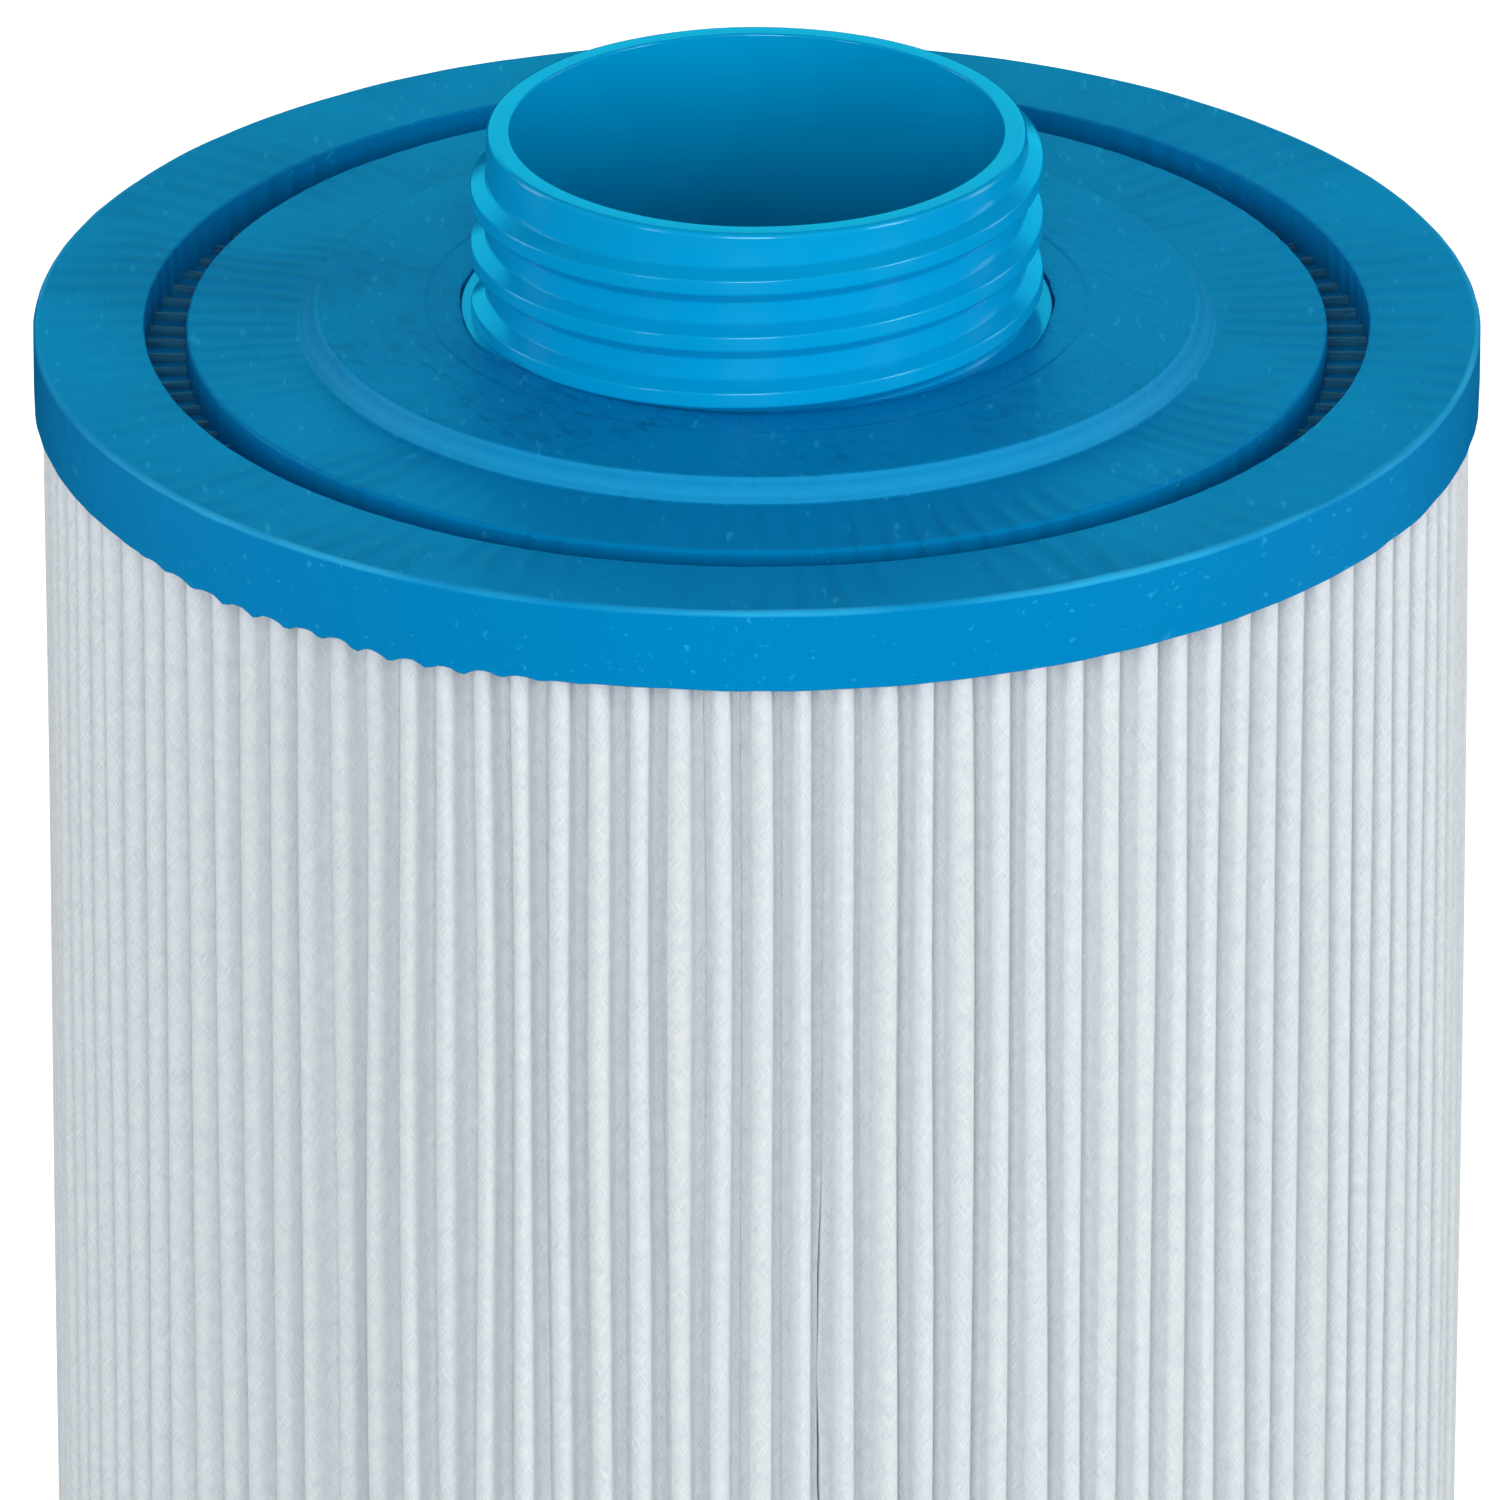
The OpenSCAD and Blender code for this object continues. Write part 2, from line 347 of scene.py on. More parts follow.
@dataclass(frozen=True)
class CastPolyurethane(Finish):
    """Polyurethane cast in an open mould: satin, with faint ripples where the pleats shrink it."""

    # pale colour for the scuffs and streaks, and for the painted highlight along the outside edges
    pale_and_highlight_colour: str = "#2aa6d8"
    # painted shade for the dips of the ripples and of the leathery strokes
    painted_dip_shade: str = "#006390"
    ripples: int = PLEATS
    ripple_mm: float = 0.06
    peel_mm: float = 1.3
    peel_depth_mm: float = 0.14
    line_mm: float = 0.22
    line_depth_mm: float = 0.014
    disc_r: float = 46.0
    bevel_r: float = 47.4
    edge: tuple[float, float] = (CAP_R, 101.6)

    def pattern(self, tree: Tree, shader: Node, coords: Node) -> None:
        """Adds radial ripples and a leathery skin on the disc, with painted shade in their dips,
        mould lines, scuffs and a painted highlight on the outside edges.

        Args:
            tree: The material's nodes.
            shader: Its Principled shader.
            coords: Its Texture Coordinate node.
        """
        place = coords.outputs["Object"]
        split = add_node(tree, "ShaderNodeSeparateXYZ", links={0: place})
        flat = add_node(
            tree, "ShaderNodeCombineXYZ", links={0: split.outputs[0], 1: split.outputs[1]}
        )
        radius = add_node(
            tree, "ShaderNodeVectorMath", {"operation": "LENGTH"}, links={0: flat.outputs[0]}
        ).outputs["Value"]
        turn = add_node(
            tree, "ShaderNodeTexGradient", {"gradient_type": "RADIAL"}, links={0: place}
        )
        patchy = add_node(
            tree, "ShaderNodeTexNoise", values={"Scale": 1 / (22 * MM), "Detail": 2.0},
            links={"Vector": place},
        ).outputs["Fac"]
        # the ripples drift a little in step, because the pleats aren't even
        drift = add_node(
            tree, "ShaderNodeMath", {"operation": "MULTIPLY_ADD"}, {1: 0.02},
            {0: patchy, 2: turn.outputs["Fac"]},
        )
        phase = add_node(
            tree, "ShaderNodeMath", {"operation": "MULTIPLY"}, {1: math.tau * self.ripples},
            {0: drift.outputs[0]},
        )
        wave = add_node(tree, "ShaderNodeMath", {"operation": "SINE"}, links={0: phase.outputs[0]})
        inside = add_node(
            tree, "ShaderNodeMath", {"operation": "LESS_THAN"}, {1: (self.edge[0] - 0.8) * MM},
            {0: radius},
        )
        # leathery strokes that the disc takes from its mould, about 1 mm across
        stroke = add_node(
            tree, "ShaderNodeMapping", {"vector_type": "TEXTURE"},
            {"Rotation": (0, 0, math.radians(35)), "Scale": (1.0, 2.4, 1.0)}, {"Vector": place},
        )
        peel = add_node(
            tree, "ShaderNodeTexNoise",
            values={"Scale": 1 / (self.peel_mm * MM), "Detail": 3.0, "Roughness": 0.6},
            links={"Vector": stroke.outputs[0]},
        ).outputs["Fac"]
        # fine lines that follow the turned mould on every wall and bevel
        level = add_node(
            tree, "ShaderNodeMath", {"operation": "ADD"}, links={0: radius, 1: split.outputs[2]}
        )
        lines = add_node(
            tree, "ShaderNodeTexNoise", {"noise_dimensions": "1D"},
            {"Scale": 1 / (self.line_mm * MM), "Detail": 2.0}, {"W": level.outputs[0]},
        ).outputs["Fac"]
        # short pale scuffs from handling
        scuff_place = add_node(
            tree, "ShaderNodeMapping", {"vector_type": "TEXTURE"},
            {"Rotation": (0.4, 0.9, 0.3), "Scale": (1.0, 9.0, 1.0)}, {"Vector": place},
        )
        scuff = add_node(
            tree, "ShaderNodeTexNoise", values={"Scale": 1 / (0.9 * MM), "Detail": 2.0},
            links={"Vector": scuff_place.outputs[0]},
        ).outputs["Fac"]
        # both caps' outside edges get a painted highlight, a thin pale line; each is this far out
        # and from mid-height
        height = add_node(
            tree, "ShaderNodeMath", {"operation": "SUBTRACT"}, {1: self.edge[1] * MM},
            {0: split.outputs[2]},
        )
        from_middle = add_node(
            tree, "ShaderNodeMath", {"operation": "ABSOLUTE"}, links={0: height.outputs[0]}
        )
        corner = add_node(
            tree, "ShaderNodeMath", {"operation": "ADD"},
            links={0: radius, 1: from_middle.outputs[0]},
        ).outputs[0]
        # what each area follows, from where to where it sets in, and how strong it gets
        reach, foot = sum(self.edge), self.disc_r
        areas = {
            "patch": (patchy, 0.42, 0.62, 1.0),
            "off_disc": (radius, (foot + 2) * MM, (foot + 4) * MM, 1.0),
            "hollow": (peel, 0.50, 0.34, 0.55),
            "scuffed": (scuff, 0.66, 0.74, 0.6),
            "at_edge": (corner, (reach - 0.68) * MM, (reach - 0.45) * MM, 1.0),
            "highlight_patches": (patchy, 0.3, 0.6, 1.0),
        }
        for area, (source, low, high, most) in areas.items():
            areas[area] = add_node(
                tree, "ShaderNodeMapRange",
                values={"From Min": low, "From Max": high, "To Max": most},
                links={"Value": source},
            ).outputs[0]
        patch, off_disc = areas["patch"], areas["off_disc"]
        on_disc = add_node(
            tree, "ShaderNodeMath", {"operation": "SUBTRACT"}, {0: 1.0}, {1: off_disc}
        ).outputs[0]
        peel_share = add_node(
            tree, "ShaderNodeMath", {"operation": "MULTIPLY_ADD"}, {1: 0.85, 2: 0.08}, {0: on_disc}
        )
        # the disc's bevel is cast against a turned face, which leaves pale streaks
        on_bevel = add_node(
            tree, "ShaderNodeMath", {"operation": "COMPARE"}, {1: self.bevel_r * MM, 2: 1.0 * MM},
            {0: radius},
        )
        above = add_node(
            tree, "ShaderNodeMath", {"operation": "GREATER_THAN"},
            {1: (2 * self.edge[1] - 0.2) * MM}, {0: split.outputs[2]},
        )
        # each mark is the product of its shape and of where it shows
        marks = {
            "ripple": (wave.outputs[0], patch, inside.outputs[0], off_disc),
            "peel": (peel, peel_share.outputs[0]),
            # painted highlight: a pale line along each cap's rounded outside edge, broken into
            # patches
            "edge_highlight": (areas["at_edge"], areas["highlight_patches"]),
            "streak": (on_bevel.outputs[0], above.outputs[0], lines),
            "stroke": (areas["hollow"], on_disc, patch),
        }
        for mark, (amount, *shares) in marks.items():
            for share in shares:
                amount = add_node(
                    tree, "ShaderNodeMath", {"operation": "MULTIPLY"}, links={0: amount, 1: share}
                ).outputs[0]
            marks[mark] = amount
        bumps: dict = {}
        for depth, relief in (
            (self.ripple_mm, marks["ripple"]),
            (self.peel_depth_mm, marks["peel"]),
            (self.line_depth_mm, lines),
        ):
            bump = add_node(
                tree, "ShaderNodeBump", values={"Strength": 1.0, "Distance": depth * MM},
                links={"Height": relief, **bumps},
            )
            bumps = {"Normal": bump.outputs[0]}
        # the pale colour marks the scuffs and streaks, and paints a highlight along the outside
        # edges
        pale_and_highlight = areas["scuffed"]
        for mark in (marks["edge_highlight"], marks["streak"]):
            pale_and_highlight = add_node(
                tree, "ShaderNodeMath", {"operation": "MAXIMUM"}, links={0: pale_and_highlight, 1: mark}
            ).outputs[0]
        # painted shade: the ripples and the leathery strokes are darkened in their dips, where
        # shade would fall
        dip_shade_share = add_node(
            tree, "ShaderNodeMath", {"operation": "MULTIPLY_ADD"}, {1: 0.3},
            {0: marks["ripple"], 2: marks["stroke"]},
        )
        dip_shaded = add_node(
            tree, "ShaderNodeMix", {"data_type": "RGBA"},
            {6: linear(self.colour), 7: linear(self.painted_dip_shade)}, {0: dip_shade_share.outputs[0]},
        )
        tint = add_node(
            tree, "ShaderNodeMix", {"data_type": "RGBA"}, {7: linear(self.pale_and_highlight_colour)},
            {0: pale_and_highlight, 6: dip_shaded.outputs[2]},
        )
        shine = add_node(
            tree, "ShaderNodeMapRange",
            values={"From Min": 0.3, "From Max": 0.7,
                    "To Min": self.roughness * 0.85, "To Max": self.roughness * 1.25},
            links={"Value": patchy},
        )
        tree.links.new(tint.outputs[2], shader.inputs["Base Color"])
        tree.links.new(shine.outputs[0], shader.inputs["Roughness"])
        tree.links.new(bumps["Normal"], shader.inputs["Normal"])


@dataclass(frozen=True)
class SpunPolyester(Finish):
    """Spun-bonded polyester: a white felt of long fibres, pressed smooth, that resin stains."""

    shade: str = "#c9d3d9"
    resin: str = "#12688f"
    fibre_mm: float = 0.16
    fibre_run: float = 14.0
    fibre_depth_mm: float = 0.05
    resin_from_mm: float = 0.0
    resin_to_mm: float = 0.0

    def pattern(self, tree: Tree, shader: Node, coords: Node) -> None:
        """Adds crossing fibres in the sheet's own plane, and resin at its two cast ends.

        The fibres are really about 0.02 mm wide, and are drawn wider so that they show.

        Args:
            tree: The material's nodes.
            shader: Its Principled shader.
            coords: Its Texture Coordinate node.
        """
        strands = []
        for lean in (28, -34):
            laid = add_node(
                tree, "ShaderNodeMapping", {"vector_type": "TEXTURE"},
                {"Rotation": (0, 0, math.radians(lean)), "Scale": (1.0, self.fibre_run, 1.0)},
                {"Vector": coords.outputs["UV"]},
            )
            strands.append(add_node(
                tree, "ShaderNodeTexNoise",
                values={"Scale": 1 / (self.fibre_mm * MM), "Detail": 2.0, "Roughness": 0.6},
                links={"Vector": laid.outputs[0]},
            ))
        crossed = add_node(
            tree, "ShaderNodeMath", {"operation": "MAXIMUM"},
            links={0: strands[0].outputs["Fac"], 1: strands[1].outputs["Fac"]},
        )
        mottle = add_node(
            tree, "ShaderNodeTexNoise", values={"Scale": 1 / (2.2 * MM), "Detail": 3.0},
            links={"Vector": coords.outputs["UV"]},
        )
        thin = add_node(
            tree, "ShaderNodeMapRange", values={"From Min": 0.68, "From Max": 0.44},
            links={"Value": crossed.outputs[0]},
        )
        thinned = add_node(
            tree, "ShaderNodeMath", {"operation": "MULTIPLY"},
            links={0: thin.outputs[0], 1: mottle.outputs["Fac"]},
        )
        felt = add_node(
            tree, "ShaderNodeMix", {"data_type": "RGBA"},
            {6: linear(self.colour), 7: linear(self.shade)}, {0: thinned.outputs[0]},
        )
        split = add_node(tree, "ShaderNodeSeparateXYZ", links={0: coords.outputs["Object"]})
        ragged = add_node(
            tree, "ShaderNodeMath", {"operation": "MULTIPLY_ADD"}, {1: 0.9 * MM},
            {0: mottle.outputs["Fac"], 2: split.outputs[2]},
        )
        upper = add_node(
            tree, "ShaderNodeMapRange",
            values={"From Min": (self.resin_to_mm + 0.3) * MM,
                    "From Max": (self.resin_to_mm + 0.8) * MM},
            links={"Value": ragged.outputs[0]},
        )
        lower = add_node(
            tree, "ShaderNodeMapRange",
            values={"From Min": (self.resin_from_mm + 0.5) * MM,
                    "From Max": self.resin_from_mm * MM},
            links={"Value": ragged.outputs[0]},
        )
        soaked = add_node(
            tree, "ShaderNodeMath", {"operation": "MAXIMUM"},
            links={0: upper.outputs[0], 1: lower.outputs[0]},
        )
        tint = add_node(
            tree, "ShaderNodeMix", {"data_type": "RGBA"}, {7: linear(self.resin)},
            {0: soaked.outputs[0], 6: felt.outputs[2]},
        )
        height = add_node(
            tree, "ShaderNodeMath", {"operation": "MULTIPLY_ADD"}, {1: 0.6},
            {0: mottle.outputs["Fac"], 2: crossed.outputs[0]},
        )
        bump = add_node(
            tree, "ShaderNodeBump", values={"Strength": 1.0, "Distance": self.fibre_depth_mm * MM},
            links={"Height": height.outputs[0]},
        )
        shader.inputs["Subsurface Weight"].default_value = 0.5
        shader.inputs["Subsurface Radius"].default_value = (1.0, 1.0, 1.0)
        shader.inputs["Subsurface Scale"].default_value = 3.0 * MM
        shader.inputs["Sheen Weight"].default_value = 0.15
        shader.inputs["Sheen Roughness"].default_value = 0.5
        tree.links.new(tint.outputs[2], shader.inputs["Base Color"])
        tree.links.new(bump.outputs[0], shader.inputs["Normal"])


@dataclass(frozen=True)
class StudioPaper(Finish):
    """White background paper, lit so evenly that it hardly shows a shadow."""

    glow: float = 0.5

    def pattern(self, tree: Tree, shader: Node, coords: Node) -> None:
        """Adds the glow of paper that is lit from all round."""
        shader.inputs["Emission Color"].default_value = linear(self.colour)
        shader.inputs["Emission Strength"].default_value = self.glow


# ABS as moulded: a bright blue gloss with soft highlights on the thread's crests
COLLAR_ABS = MouldedPlastic(
    "moulded_blue_abs", "#00a2d9", roughness=0.17, ior=1.53, gloss=0.5, glint="#bdeeff",
    cloud="#009cd2",
)
# glass-white polypropylene: a milky satin, a little grey where it is thin
CORE_PP = MouldedPlastic(
    "moulded_white_polypropylene", "#e2e6e6", roughness=0.45, ior=1.49, cloud="#d3d9da",
    skin_mm=0.8,
)
# ethylene hot melt: a yellowish, waxy bead
SEAM_GLUE = MouldedPlastic(
    "hot_melt_adhesive", "#d9d2b4", roughness=0.35, ior=1.48, cloud="#c8bf9c", skin_depth_mm=0.03,
)
# cast polyurethane: a satin blue whose reflections take the pigment's tint
CAP_RESIN = CastPolyurethane(
    "cast_blue_polyurethane", "#0083be", roughness=0.36, ior=1.51, gloss=0.14, glint="#20d0ff",
)
# seamless paper for the floor
PAPER = StudioPaper("white_background_paper", "#f7f8f8", roughness=0.9, glow=0.7)


# ---- Caps ----


class End(Enum):
    """The two ends of the cartridge, by the way their faces look."""

    THREADED = 1
    CLOSED = -1


@dataclass
class CastCap:
    """A cap cast round the pleats' ends, with its mould groove and the flange slot of its insert.

    Radii and heights are millimetres; heights are above the cap's own ring plane.
    """

    end: End
    node: str
    ring_z: float
    outer_r: float = CAP_R
    skirt: float = 9.0
    groove: tuple[float, float] = (60.1, 64.5)
    groove_depth: float = 4.7
    land_drop: float = 0.3
    disc: tuple[float, float] = (46.4, 48.3)
    disc_h: float = 2.1
    neck_r: float = NECK_R
    flange_r: float = FLANGE_R
    flange: tuple[float, float] = FLANGE_Z
    pleats: int = PLEATS
    turns: int = 648
    edge_band: float = 0.9
    foot_h: float = 3.0
    lip_w: float = 1.8
    lip_creep: float = 1.7
    scallop: float = 0.6
    sink: float = 0.015

    def face(self) -> Profile:
        """Corners of the face inside the groove, from the land inwards."""
        if self.end is End.CLOSED:
            return [(self.neck_r, -self.land_drop, 0.4)]
        top, foot = self.disc
        return [
            (foot, -self.land_drop, 0.5),
            (top, self.disc_h, 0.5),
            (35.0, self.disc_h, 0.3),
            (34.7, self.disc_h - 0.10, 0.2),
            (32.2, self.disc_h - 0.12, 0.2),
            (self.neck_r + 0.1, 1.96, 0.1),
        ]

    def profile(self) -> Profile:
        """Corners of the whole section, anticlockwise from the skirt's foot."""
        inner, outer = self.groove
        below, above = self.flange
        return [
            (self.outer_r, -self.skirt, 0.25),
            (self.outer_r, 0.0, 0.9),
            (outer, 0.0, 0.5),
            (outer, -self.groove_depth, 0),
            (inner, -self.groove_depth, 0),
            (inner, -self.land_drop, 0.9),
            *self.face(),
            (self.neck_r, above, 0),
            (self.flange_r, above, 0),
            (self.flange_r, below, 0),
            (self.neck_r, below, 0),
            (self.neck_r, -self.skirt, 0),
        ]

    def drip(self, angle: float) -> float:
        """How far the resin runs down the pleats under the skirt, in millimetres."""
        where = 0.5 * round_noise(angle, 14, 3.1) + 0.7 * math.cos(2 * (angle + 2.2))
        patch = smooth_step(0.3, 0.8, where)
        scallop = 0.5 + 0.5 * math.cos(angle * self.pleats + 2 * round_noise(angle, 40, 1.9))
        ragged = 0.35 * round_noise(angle, 70, 5.7) + 0.22 * round_noise(angle, 230, 2.8)
        run = 0.25 + self.scallop * scallop * scallop + ragged
        return 0.10 * round_noise(angle, 90, 9.7) + patch * run

    def wear(self, bm: Mesh) -> None:
        """Makes the turned shape a casting: an uneven edge, a ragged foot and sink marks."""
        for vert in bm.verts:
            x, y, z = vert.co
            radius, angle = math.hypot(x, y), math.atan2(y, x)
            grow, lift = 0.0, 0.0
            if radius > self.outer_r - self.edge_band:
                grow = 0.10 * round_noise(angle, 26, 1.3) + 0.04 * round_noise(angle, 150, 5.2)
                foot = smooth_step(-self.skirt + self.foot_h, -self.skirt, z)
                lift = -self.drip(angle) * foot
                grow -= 0.12 * foot * (1 + round_noise(angle, 120, 8.8))
                if z > -1.2:
                    lift += 0.06 * round_noise(angle, 60, 2.4)
            elif self.neck_r < radius < self.neck_r + self.lip_w and z > 0:
                grow = 0.22 * round_noise(angle, 60, 4.4) + 0.12 * round_noise(angle, 190, 6.1)
                grow -= self.lip_creep * smooth_step(0.35, 0.8, -math.sin(angle))
            elif radius > self.groove[0] - 1 and z > -self.groove_depth - 0.5:
                grow = 0.05 * round_noise(angle, 70, 7.7)
            if z > -1 and self.disc[1] + 1 < radius < self.outer_r - 1:
                wave = math.cos(angle * self.pleats)
                lift += self.sink * wave * (1 + round_noise(angle, 30, 6.6))
            scale = (radius + grow) / radius
            vert.co = (x * scale, y * scale, z + lift)

    def build(self) -> Piece:
        """Builds, dresses and mounts the cap.

        Returns:
            The cap's object.
        """
        bm = bmesh.new()
        profile_loop(bm, self.profile(), longest=3.2)
        spin_full(bm, self.turns)
        self.wear(bm)
        bmesh.ops.scale(bm, vec=(1, 1, self.end.value), verts=bm.verts)
        bmesh.ops.translate(bm, vec=(0, 0, self.ring_z), verts=bm.verts)
        bmesh.ops.recalc_face_normals(bm, faces=bm.faces)
        cap = finish_mesh(f"{self.node}_casting", bm, sharp=50)
        crisp(cap)
        cap.data.materials.append(CAP_RESIN.material())
        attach(cap, "root")
        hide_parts(self.node)
        return cap


# ---- Inserts ----


@dataclass
class Insert:
    """What both moulded inserts share: the wall, the neck and the flange the resin holds."""

    node: str
    ring_z: float
    bore_r: float = 26.0
    root_r: float = 28.4
    neck_r: float = NECK_R
    flange_r: float = FLANGE_R
    flange: tuple[float, float] = FLANGE_Z
    turns: int = 180

    def mount(self, piece: Piece) -> Piece:
        """Dresses the insert, rides it on the cartridge and lets it stand for its node."""
        crisp(piece)
        piece.data.materials.append(COLLAR_ABS.material())
        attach(piece, "root")
        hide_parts(self.node)
        return piece


@dataclass
class ThreadedCollar(Insert):
    """The outlet collar: a tube with a right-hand outside thread of rounded trapezoid form."""

    rim_h: float = 21.6
    tail: float = -16.0
    neck_h: float = 1.7
    crest_r: float = 30.15
    crest_w: float = 1.6
    flank: tuple[float, float] = (1.45, 0.8)
    pitch: float = 6.35
    sweep: tuple[float, float] = (-570.0, 420.0)
    front_z: float = 16.3
    fade: float = 35.0
    foot_sink: float = 0.45

    def tube(self) -> Piece:
        """Spins the collar's tube with its neck and flange."""
        below, above = self.flange
        bm = bmesh.new()
        profile_loop(bm, [
            (self.bore_r, self.tail, 0.3),
            (self.root_r, self.tail, 0.3),
            (self.root_r, below, 0),
            (self.flange_r, below, 0),
            (self.flange_r, above, 0),
            (self.neck_r, above, 0),
            (self.neck_r, self.neck_h, 0.4),
            (self.root_r, self.neck_h, 0.3),
            (self.root_r, self.rim_h, 0.9),
            (self.bore_r, self.rim_h, 0.4),
        ], longest=6.0)
        spin_full(bm, self.turns)
        for vert in bm.verts:
            if vert.co.z > self.rim_h - 1.5:
                angle = math.atan2(vert.co.y, vert.co.x)
                vert.co.z += 0.05 * round_noise(angle, 16, 2.2)
        bmesh.ops.translate(bm, vec=(0, 0, self.ring_z), verts=bm.verts)
        return finish_mesh(f"{self.node}_moulding", bm, sharp=40)

    def thread(self) -> Piece:
        """Spins the thread's section up its helix and fades both ends into the wall."""
        start, end = self.sweep
        low, high = self.flank
        half, sink = self.crest_w / 2, self.foot_sink
        bm = bmesh.new()
        profile_loop(bm, [
            (self.root_r - sink, -half - low - 0.3, 0),
            (self.root_r + 0.02, -half - low - 0.15, 0),
            (self.root_r + 0.12, -half - low + 0.05, 0.2),
            (self.crest_r, -half, 0.28),
            (self.crest_r, half, 0.28),
            (self.root_r + 0.12, half + high, 0.2),
            (self.root_r + 0.02, half + high + 0.15, 0),
            (self.root_r - sink, half + high + 0.3, 0),
        ], longest=3.0)
        first = Matrix.Rotation(math.radians(start), 3, "Z")
        bmesh.ops.rotate(bm, cent=(0, 0, 0), verts=bm.verts, matrix=first)
        bmesh.ops.translate(bm, vec=(0, 0, self.centre_z(start)), verts=bm.verts)
        steps = round((end - start) * self.turns / 360)
        bmesh.ops.spin(
            bm, geom=bm.verts[:] + bm.edges[:], cent=(0, 0, 0), axis=(0, 0, 1),
            dvec=(0, 0, self.pitch / self.turns), angle=math.radians(end - start), steps=steps,
        )
        bmesh.ops.holes_fill(bm, edges=[e for e in bm.edges if e.is_boundary], sides=0)
        bmesh.ops.recalc_face_normals(bm, faces=bm.faces)
        foot = self.root_r - sink
        for vert in bm.verts:
            x, y, z = vert.co
            radius, angle = math.hypot(x, y), math.degrees(math.atan2(y, x))
            turn = round((z + 0.35 - self.centre_z(angle)) / self.pitch)
            swept = angle + 360 * turn
            rise = smooth_step(0, self.fade, min(swept - start, end - swept))
            nick = 0.012 * wander(swept / 12, 5.5)
            scale = (foot + (radius - foot) * (rise + (1 - rise) * 0.1) + nick * rise) / radius
            vert.co = (x * scale, y * scale, z)
        bmesh.ops.translate(bm, vec=(0, 0, self.ring_z), verts=bm.verts)
        return finish_mesh("thread_sweep", bm, sharp=40)

    def centre_z(self, angle: float) -> float:
        """Height of the thread's middle at an angle in degrees."""
        return self.front_z + self.pitch * (angle - 270) / 360

    def build(self) -> Piece:
        """Builds, dresses and mounts the collar.

        Returns:
            The collar's object.
        """
        collar = self.tube()
        unite(collar, self.thread(), sharp=40)
        return self.mount(collar)


@dataclass
class GripInsert(Insert):
    """The closed end's insert: a finger well with a bar across its mouth."""

    depth: float = 24.0
    floor: float = 2.4
    face_drop: float = 0.8
    bar_w: float = 12.0
    bar_h: float = 8.0

    def well(self) -> Piece:
        """Spins the well with its neck and flange, its mouth upwards for now."""
        below, above = self.flange
        bm = bmesh.new()
        profile_loop(bm, [
            (0, -self.depth - self.floor, 0),
            (self.root_r, -self.depth - self.floor, 2.2),
            (self.root_r, below, 0),
            (self.flange_r, below, 0),
            (self.flange_r, above, 0),
            (self.neck_r, above, 0),
            (self.neck_r, -self.face_drop, 0.5),
            (self.bore_r, -self.face_drop, 0.9),
            (self.bore_r, -self.depth, 4.5),
            (0, -self.depth, 0),
        ], longest=6.0, closed=False)
        spin_full(bm, self.turns)
        return self.seat(bm, f"{self.node}_moulding")

    def bar(self) -> Piece:
        """Shapes the bar from a block, rounded along its edges, its ends inside the wall."""
        bm = bmesh.new()
        bmesh.ops.create_cube(bm, size=1.0)
        reach = 2 * self.bore_r + 1.6
        bmesh.ops.scale(bm, vec=(reach, self.bar_w, self.bar_h), verts=bm.verts)
        long_edges = [e for e in bm.edges if abs(e.verts[0].co.x - e.verts[1].co.x) > reach / 2]
        lower = [e for e in long_edges if e.verts[0].co.z < 0]
        upper = [e for e in long_edges if e.verts[0].co.z > 0]
        bmesh.ops.bevel(
            bm, geom=lower, offset=2.5, offset_type="OFFSET", affect="EDGES",
            segments=6, profile=0.5, material=-1,
        )
        bmesh.ops.bevel(
            bm, geom=[e for e in upper if e.is_valid], offset=0.8, offset_type="OFFSET",
            affect="EDGES", segments=4, profile=0.5, material=-1,
        )
        drop = -self.face_drop - self.bar_h / 2 - 0.02
        bmesh.ops.translate(bm, vec=(0, 0, drop), verts=bm.verts)
        return self.seat(bm, "grip_bar")

    def seat(self, bm: Mesh, name: str) -> Piece:
        """Turns a shape mouth down onto the closed end's ring plane."""
        bmesh.ops.scale(bm, vec=(1, 1, -1), verts=bm.verts)
        bmesh.ops.translate(bm, vec=(0, 0, self.ring_z), verts=bm.verts)
        bmesh.ops.recalc_face_normals(bm, faces=bm.faces)
        return finish_mesh(name, bm, sharp=40)

    def build(self) -> Piece:
        """Builds, dresses and mounts the grip insert.

        Returns:
            The insert's object.
        """
        insert = self.well()
        unite(insert, self.bar(), sharp=40)
        return self.mount(insert)


# ---- Pleats and core ----


